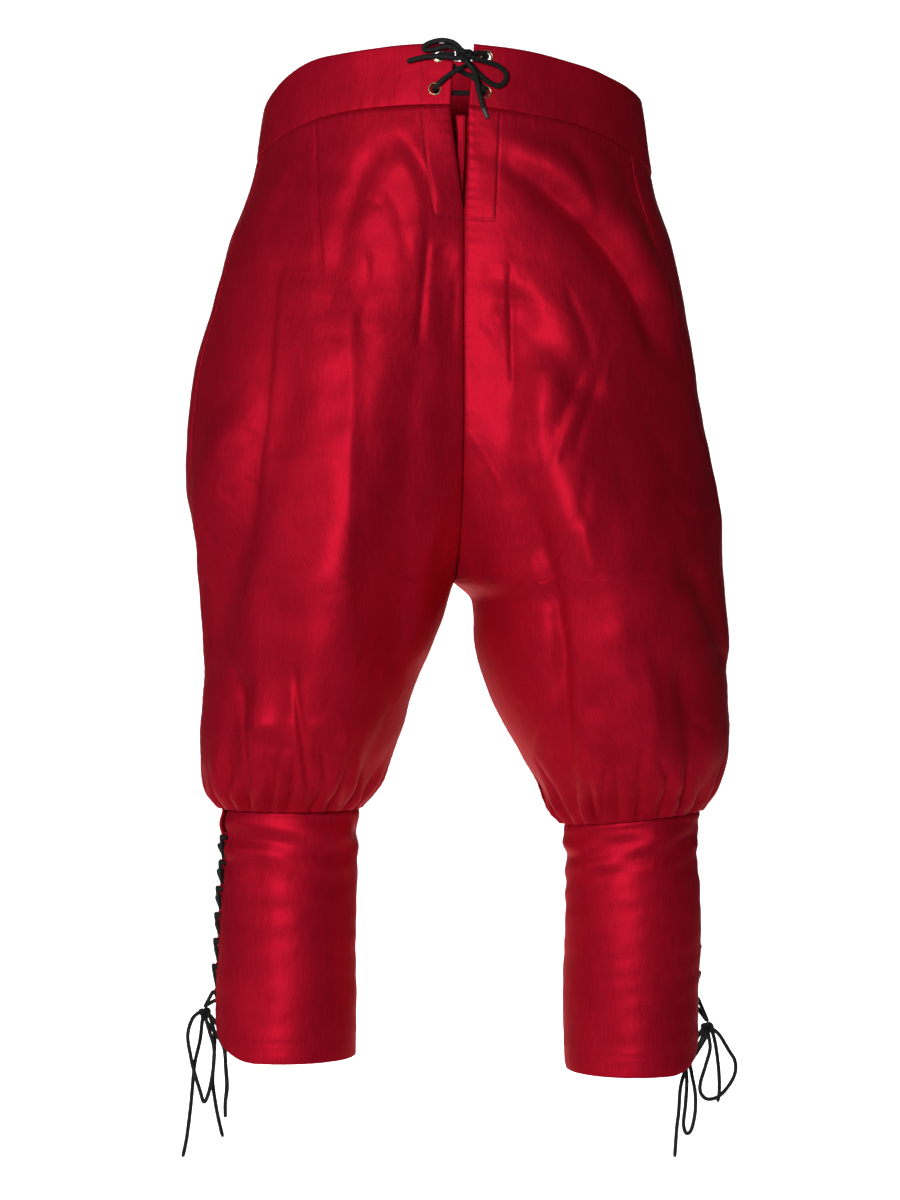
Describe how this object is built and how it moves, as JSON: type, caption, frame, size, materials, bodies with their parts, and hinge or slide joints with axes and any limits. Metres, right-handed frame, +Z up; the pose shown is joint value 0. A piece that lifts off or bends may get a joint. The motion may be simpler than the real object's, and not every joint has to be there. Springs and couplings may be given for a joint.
{
  "type": "knee breeches",
  "caption": "Worn-form sateen knee breeches with a laced waist slit, legs gathered into long calf cuffs laced along the outer sides.",
  "frame": {"origin": "middle of the waist, level with the seam under the waistband at the centre front", "axes": "+X to the wearer's left, -Y to the front, +Z up"},
  "size_m": [0.4766, 0.3047, 0.9664],
  "materials": {
    "red_sateen": "soft sheen of a satin weave",
    "black_cord": "round braided cord",
    "brass_eyelet": "light polished brass"
  },
  "bodies": {
    "root": {"back_left": "red_sateen", "back_right": "red_sateen", "bow_left_1": "black_cord", "bow_left_2": "black_cord", "bow_right_1": "black_cord", "bow_right_2": "black_cord", "bow_waist_1": "black_cord", "bow_waist_2": "black_cord", "cuff_left": "red_sateen", "cuff_right": "red_sateen", "eyelet_left_lower": "brass_eyelet", "eyelet_left_upper": "brass_eyelet", "eyelet_right_lower": "brass_eyelet", "eyelet_right_upper": "brass_eyelet", "front_left": "red_sateen", "front_right": "red_sateen", "knot_left": "black_cord", "knot_right": "black_cord", "lace_left": "black_cord", "lace_right": "black_cord", "loop_left_back_1": "red_sateen", "loop_left_back_2": "red_sateen", "loop_left_back_3": "red_sateen", "loop_left_back_4": "red_sateen", "loop_left_back_5": "red_sateen", "loop_left_back_6": "red_sateen", "loop_left_back_7": "red_sateen", "loop_left_front_1": "red_sateen", "loop_left_front_2": "red_sateen", "loop_left_front_3": "red_sateen", "loop_left_front_4": "red_sateen", "loop_left_front_5": "red_sateen", "loop_left_front_6": "red_sateen", "loop_left_front_7": "red_sateen", "loop_right_back_1": "red_sateen", "loop_right_back_2": "red_sateen", "loop_right_back_3": "red_sateen", "loop_right_back_4": "red_sateen", "loop_right_back_5": "red_sateen", "loop_right_back_6": "red_sateen", "loop_right_back_7": "red_sateen", "loop_right_front_1": "red_sateen", "loop_right_front_2": "red_sateen", "loop_right_front_3": "red_sateen", "loop_right_front_4": "red_sateen", "loop_right_front_5": "red_sateen", "loop_right_front_6": "red_sateen", "loop_right_front_7": "red_sateen", "slit_underlap": "red_sateen", "tail_left_1": "black_cord", "tail_left_2": "black_cord", "tail_right_1": "black_cord", "tail_right_2": "black_cord", "tail_waist_1": "black_cord", "tail_waist_2": "black_cord", "waist_knot": "black_cord", "waist_lace": "black_cord", "waistband_left": "red_sateen", "waistband_right": "red_sateen"}
  },
  "joints": []
}
